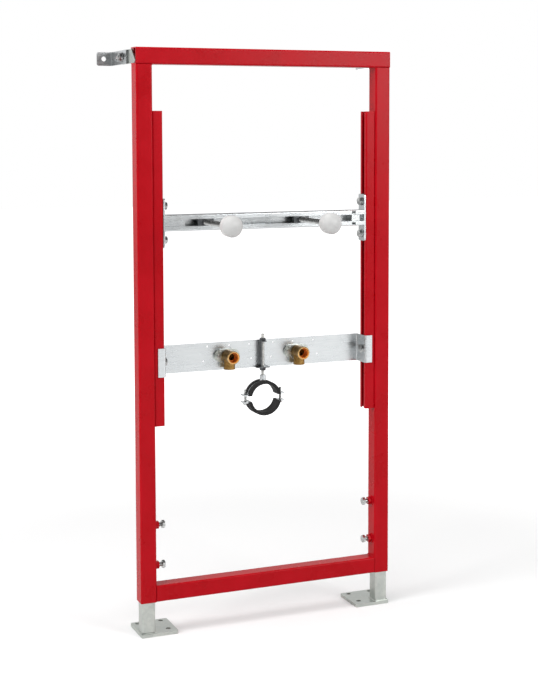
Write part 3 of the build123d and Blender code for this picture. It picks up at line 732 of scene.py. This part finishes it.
def add_bolt(size, pitch, flats, head, shank, washer=None):
    """A bolt on its seat at the origin: its head above, its shank below and its washer between."""
    lift = washer[2] if washer else 0
    bolt = add_hexagon(flats, head)
    settle(bolt, (0, 0, lift))
    rod = add_threaded_rod(size, pitch, shank + lift + head / 2)
    settle(rod, (0, 0, -shank))
    combine(bolt, rod, "UNION")
    return join([bolt, add_washer(*washer)]) if washer else bolt


def add_nut(size, flats, height):
    """A nut on the XY plane, with its bore countersunk at both ends."""
    nut = add_hexagon(flats, height, both_ends=True)
    sink = 0.06 * size
    wide = size / 2 + 2 * sink
    drill = turn_on_lathe(
        (0, -sink),
        [(wide, 0), (-2 * sink, 2 * sink), (0, height - 2 * sink), (2 * sink, 2 * sink), (-wide, 0)],
    )
    combine(nut, drill, "DIFFERENCE")
    return nut


face_right = (0, math.pi / 2, 0)
face_left = (0, -math.pi / 2, 0)
face_room = (math.pi / 2, 0, 0)
face_down = (math.pi, 0, 0)
face_up = (0, 0, 0)


def seats_on_both_sides(x, y, heights, left_turn, right_turn):
    """Seats at the left and the right of the frame, at each height, with one turn for each side."""
    return [((-x, y, z), left_turn) for z in heights] + [((x, y, z), right_turn) for z in heights]


print("bolts and nuts ready")

# %% [markdown]
# ## Basin studs and clip rod
# The basin hangs on two M10 studs, and the waste clip on an M6 rod. Both are cut from threaded bar, so their
# thread runs from end to end. The solids keep them plain, so here they are wound at their real pitch in the
# same place.

# %% Studs and rod cut from threaded bar
M10_PITCH = 1.5 * MM
M6_PITCH = 1.0 * MM
for side in ("left", "right"):
    low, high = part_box(f"{side}_basin_stud")
    stud = add_threaded_rod(high.x - low.x, M10_PITCH, high.y - low.y)
    settle(stud, ((low.x + high.x) / 2, high.y, (low.z + high.z) / 2), face_room)
    name = f"{side}_stud_thread"
    adopt(stud, name, "basin_carrier", "zinc_plated_steel", bright_zinc, f"{side}_basin_stud")

low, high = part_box("clip_rod")
rod = add_threaded_rod(high.x - low.x, M6_PITCH, high.z - low.z)
settle(rod, ((low.x + high.x) / 2, (low.y + high.y) / 2, low.z))
adopt(rod, "clip_rod_thread", "fitting_carrier", "zinc_plated_steel", pale_zinc_and_painted_glint, "clip_rod")

# %% [markdown]
# ## Clamp screws
# Two screws in each stile press on the leg and hold the height that was set. They are bought M8 screws with
# a 13 mm spanner size, and they sit where the solids sit. One is made and copied to each seat, facing the
# middle of the frame. They were left with a corner up, so the model is turned before it is copied.

# %% Clamp screws in the stiles
M8, M8_PITCH, M8_FLATS, M8_HEAD = 8 * MM, 1.25 * MM, 13 * MM, 5.3 * MM
corner_up = (0, 0, math.radians(30))
clamp_seat_x = 205.5 * MM
low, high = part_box("clamp_screws")
clamp_y = (low.y + high.y) / 2
corner = M8_FLATS / math.sqrt(3)
clamp_heights = (low.z + corner, high.z - corner)
screw = add_bolt(M8, M8_PITCH, M8_FLATS, M8_HEAD, high.x - clamp_seat_x)
settle(screw, (0, 0, 0), corner_up)
seats = seats_on_both_sides(clamp_seat_x, clamp_y, clamp_heights, face_right, face_left)
adopt(set_out(screw, seats), "clamp_screw_set", "frame", "zinc_plated_steel", bright_zinc, "clamp_screws")

# %% [markdown]
# ## Bolts of the basin rail and of the plate
# The basin rail's brackets and the plate's ends are bolted to the lipped rails inside the stiles. The
# brackets carry the basin, so their bolts have washers. These bolts were left with a flat up.

# %% Bolts of the brackets, on washers, and of the fitting plate
bracket_seat_x = 197.7 * MM
plate_seat_x = 198.7 * MM
washer = (8.4 * MM, 16 * MM, 1.6 * MM)
flat = M8_FLATS / 2
low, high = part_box("bracket_bolts")
bolt_y = (low.y + high.y) / 2
bolt = add_bolt(M8, M8_PITCH, M8_FLATS, M8_HEAD, high.x - bracket_seat_x, washer)
seats = seats_on_both_sides(bracket_seat_x, bolt_y, (low.z + flat, high.z - flat), face_right, face_left)
bolts = set_out(bolt, seats)
adopt(bolts, "bracket_bolt_set", "basin_carrier", "zinc_plated_steel", bright_zinc, "bracket_bolts")

low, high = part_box("plate_bolts")
bolt = add_bolt(M8, M8_PITCH, M8_FLATS, M8_HEAD, high.x - plate_seat_x)
seats = seats_on_both_sides(plate_seat_x, bolt_y, [(low.z + high.z) / 2], face_right, face_left)
bolts = set_out(bolt, seats)
adopt(bolts, "plate_bolt_set", "fitting_carrier", "zinc_plated_steel", bright_zinc, "plate_bolts")

# %% [markdown]
# ## Wall bolts
# Each wall angle is clamped to its strap by a bolt from inside and a nut outside. The nut has a flange, which
# bridges the slot in the angle. The flange is turned like a washer and joined to a plain nut.

# %% Bolts and flanged nuts at the wall
wall_head_x = 246 * MM
wall_nut_x = 252.6 * MM
flange = (8.4 * MM, 17 * MM, 1.5 * MM)
low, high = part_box("wall_bolts")
wall_y, wall_z = (low.y + high.y) / 2, (low.z + high.z) / 2
bolt = add_bolt(M8, M8_PITCH, M8_FLATS, M8_HEAD, high.x - wall_head_x)
seats = seats_on_both_sides(wall_head_x, wall_y, [wall_z], face_right, face_left)
adopt(set_out(bolt, seats), "wall_bolt_set", "frame", "zinc_plated_steel", bright_zinc, "wall_bolts")

low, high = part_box("wall_nuts")
nut = join([add_nut(M8, M8_FLATS, high.x - wall_nut_x), add_washer(*flange)])
seats = seats_on_both_sides(wall_nut_x, wall_y, [wall_z], face_left, face_right)
adopt(set_out(nut, seats), "wall_nut_set", "frame", "zinc_plated_steel", bright_zinc, "wall_nuts")

# %% [markdown]
# ## Nuts and screws of the clip
# One nut above and one below the bracket set the height of the clip's rod. Two small screws draw the halves
# of the clip together, with their heads below.

# %% Nuts of the clip rod and screws of the clip
M6, M6_FLATS, M6_NUT = 6 * MM, 10 * MM, 5 * MM
low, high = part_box("clip_rod_nuts")
rod_x, rod_y = (low.x + high.x) / 2, (low.y + high.y) / 2
nut = add_nut(M6, M6_FLATS, M6_NUT)
seats = [((rod_x, rod_y, z), face_up) for z in (low.z, high.z - M6_NUT)]
nuts = set_out(nut, seats)
adopt(nuts, "clip_rod_nut_set", "fitting_carrier", "zinc_plated_steel", dark_zinc, "clip_rod_nuts")

M5, M5_PITCH, M5_FLATS, M5_HEAD = 5 * MM, 0.8 * MM, 8 * MM, 3.5 * MM
low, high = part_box("clip_screws")
screw_x = high.x - M5_FLATS / 2
screw_y = (low.y + high.y) / 2
screw = add_bolt(M5, M5_PITCH, M5_FLATS, M5_HEAD, high.z - low.z - M5_HEAD)
seats = seats_on_both_sides(screw_x, screw_y, [low.z + M5_HEAD], face_down, face_down)
screws = set_out(screw, seats)
adopt(screws, "clip_screw_set", "fitting_carrier", "zinc_plated_steel", bright_zinc, "clip_screws")

# %% [markdown]
# ## Elbow mouths
# The mouth of each elbow has a half-inch pipe thread, cut with a tap after the pressing, and a narrow seat at
# its end for a washer. It is made in the same way: a sleeve with a ledge is turned to fit inside the mouth,
# and a threaded plug is cut out of it.

# %% Tapped mouths
mouth_pitch = 1.814 * MM
mouth_radius = 9.78 * MM
mouth_crest = 9.2 * MM
mouth_lead = 0.8 * MM
mouth_gap = 0.4 * MM
sleeve_radius = 10.4 * MM
sleeve_length = 14 * MM
seat_radius = 6.5 * MM
seat_height = 1.2 * MM
plug_lift = 0.5 * MM
plug_overcut = 0.3 * MM
elbow_places = []
for side in ("left", "right"):
    low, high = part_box(f"{side}_tap_elbow")
    elbow_places.append(((low.x + high.x) / 2, low.y, high.z - (high.x - low.x) / 2))
sleeve = turn_on_lathe(
    (seat_radius, 0),
    [(sleeve_radius - seat_radius, 0), (0, sleeve_length), (mouth_radius - sleeve_radius, 0),
     (mouth_crest - mouth_radius, -mouth_lead), (0, mouth_lead + seat_height - sleeve_length),
     (seat_radius - mouth_crest, 0), (0, -seat_height)],
)
plug_depth = mouth_radius - mouth_crest + plug_overcut
plug = add_threaded_rod(2 * mouth_radius, mouth_pitch, sleeve_length, plug_depth)
settle(plug, (0, 0, seat_height + plug_lift))
combine(sleeve, plug, "DIFFERENCE")
seats = [((x, y + mouth_gap + sleeve_length, z), face_room) for x, y, z in elbow_places]
# The mouths take the tapped brass, whose orange is painted bounce light.
adopt(set_out(sleeve, seats), "elbow_mouth_threads", "fitting_carrier", "brass", tapped_brass_painted_bounce)

# %% [markdown]
# ## Elbow bases
# The base behind each elbow has a ring of small pips that lock the elbow's angle. One pip is turned on the
# lathe and copied round the ring, with gaps at the screw bosses, at the top and at the outlet. The pips are
# pale, and this pale tone is a painted highlight that stands in for glints on the base.

# %% Locking pips round the bases
pip_ring = 15.5 * MM
pip_radius = 1.3 * MM
pip_root = 0.5 * MM
base_thickness = 5 * MM
base_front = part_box("left_elbow_base")[1].y - base_thickness
pip_dome = [(-0.25 * pip_radius, 0.4 * MM), (-0.35 * pip_radius, 0.25 * MM), (-0.4 * pip_radius, 0.1 * MM)]
pip = turn_on_lathe((0, -pip_root), [(pip_radius, 0), (0, 0.9 * MM)] + pip_dome)
pip_degrees = (16, 32, 48, 132, 148, 164, 196, 212, 228, 244, 296, 312, 328, 344)
seats = [
    ((x + pip_ring * math.cos(a), base_front, z + pip_ring * math.sin(a)), face_room)
    for x, y, z in elbow_places for a in map(math.radians, pip_degrees)
]
# Pale zinc on the pips: a painted highlight, for glints on the base.
adopt(set_out(pip, seats), "elbow_base_pips", "fitting_carrier", "zinc_plated_steel", pale_zinc_and_painted_glint)

# %% [markdown]
# ## Weld beads
# The frame is welded before it is coated, and the legs are welded to their feet before they go in the zinc
# bath. A bead is a row of drops that froze one on the next. It is modelled so: small balls are set along the
# seam, and a voxel remesh melts them into one skin that keeps the ripples.

# %% Beads in the frame's corners, round the clamp nuts and round the legs
bead_radius = 1.8 * MM
bead_step = 1.5 * MM
bead_voxel = 0.45 * MM
fewest_steps = 2


def walk(start, end):
    """Points from start to end, one bead step apart."""
    start, end = Vector(start), Vector(end)
    count = max(fewest_steps, round((end - start).length / bead_step))
    return [start.lerp(end, i / count) for i in range(count + 1)]


def walk_ring(centre, radius):
    """Points round a ring that faces along X."""
    count = round(math.tau * radius / bead_step)
    angles = [math.tau * i / count for i in range(count)]
    return [Vector(centre) + radius * Vector((0, math.cos(a), math.sin(a))) for a in angles]


def lay_bead(points):
    """A ball at each point, melted into one rippled skin."""
    bpy.ops.object.select_all(action="DESELECT")
    bpy.ops.mesh.primitive_ico_sphere_add(subdivisions=2, radius=bead_radius)
    bead = bpy.context.object
    settle(bead, points[0])
    bpy.ops.object.mode_set(mode="EDIT")
    for point in points[1:]:
        bpy.ops.mesh.primitive_ico_sphere_add(subdivisions=2, radius=bead_radius, location=point)
    bpy.ops.object.mode_set(mode="OBJECT")
    apply_modifier(bead, "REMESH", mode="VOXEL", voxel_size=bead_voxel)
    apply_modifier(bead, "SMOOTH", factor=0.5, iterations=2)
    return bead


tube_corner = 3 * MM
nut_weld_radius = 8.2 * MM
low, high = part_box("left_stile")
stile_inner_x = -high.x
seam_front = low.y + tube_corner
seam_back = high.y - tube_corner
seam_heights = (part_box("top_tube")[0].z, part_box("bottom_rail")[1].z)
frame_seams = []
for x in (-stile_inner_x, stile_inner_x):
    for z in seam_heights:
        frame_seams += walk((x, seam_front, z), (x, seam_back, z))
    for z in clamp_heights:
        frame_seams += walk_ring((x, clamp_y, z), nut_weld_radius)
adopt(lay_bead(frame_seams), "frame_weld_beads", "frame", "red_powder_coat", red_coat)

for side in ("left", "right"):
    low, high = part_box(f"{side}_leg")
    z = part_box(f"{side}_foot_plate")[1].z
    corners = [(low.x, low.y, z), (high.x, low.y, z), (high.x, high.y, z), (low.x, high.y, z)]
    edges = zip(corners, corners[1:] + corners[:1])
    seam = [point for start, end in edges for point in walk(start, end)]
    adopt(lay_bead(seam), f"{side}_leg_weld_bead", f"{side}_foot", "zinc_plated_steel", galvanised)
